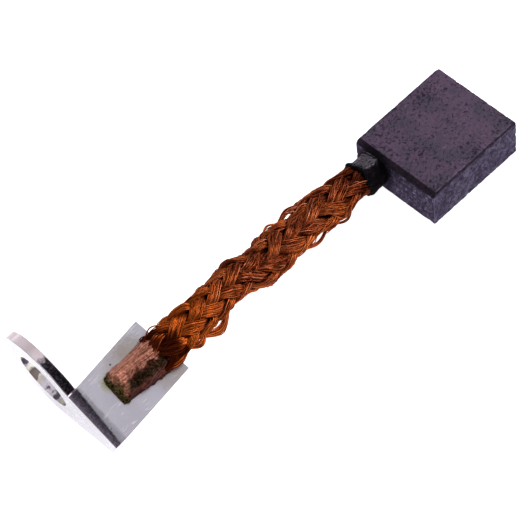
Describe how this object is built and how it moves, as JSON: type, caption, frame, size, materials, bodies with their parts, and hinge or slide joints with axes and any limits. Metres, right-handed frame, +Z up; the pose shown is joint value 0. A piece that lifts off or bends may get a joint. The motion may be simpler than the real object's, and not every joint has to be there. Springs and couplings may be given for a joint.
{
  "type": "carbon brush",
  "caption": "Block brush with a bevelled copper-graphite block, a round braided copper lead and a bent ring terminal for a stud.",
  "frame": {"origin": "middle of the block's underside", "axes": "+X from the terminal towards the block's running face, +Y to the side of the block at which the lead leaves, +Z up through the block's thickness"},
  "size_m": [0.0721, 0.0245, 0.0165],
  "materials": {
    "graphite": "matte",
    "cement": "matte",
    "copper_wire": "satin",
    "welded_copper": "satin",
    "tinned_sheet": "satin"
  },
  "bodies": {
    "root": {"carbon_block": "graphite", "lead_cement": "cement", "lead_root": "copper_wire", "weld_slug": "welded_copper", "terminal": "tinned_sheet", "bundle_left_1": "copper_wire", "bundle_left_2": "copper_wire", "bundle_left_3": "copper_wire", "bundle_left_4": "copper_wire", "bundle_left_5": "copper_wire", "bundle_left_6": "copper_wire", "bundle_left_7": "copper_wire", "bundle_left_8": "copper_wire", "bundle_right_1": "copper_wire", "bundle_right_2": "copper_wire", "bundle_right_3": "copper_wire", "bundle_right_4": "copper_wire", "bundle_right_5": "copper_wire", "bundle_right_6": "copper_wire", "bundle_right_7": "copper_wire", "bundle_right_8": "copper_wire"}
  },
  "joints": []
}
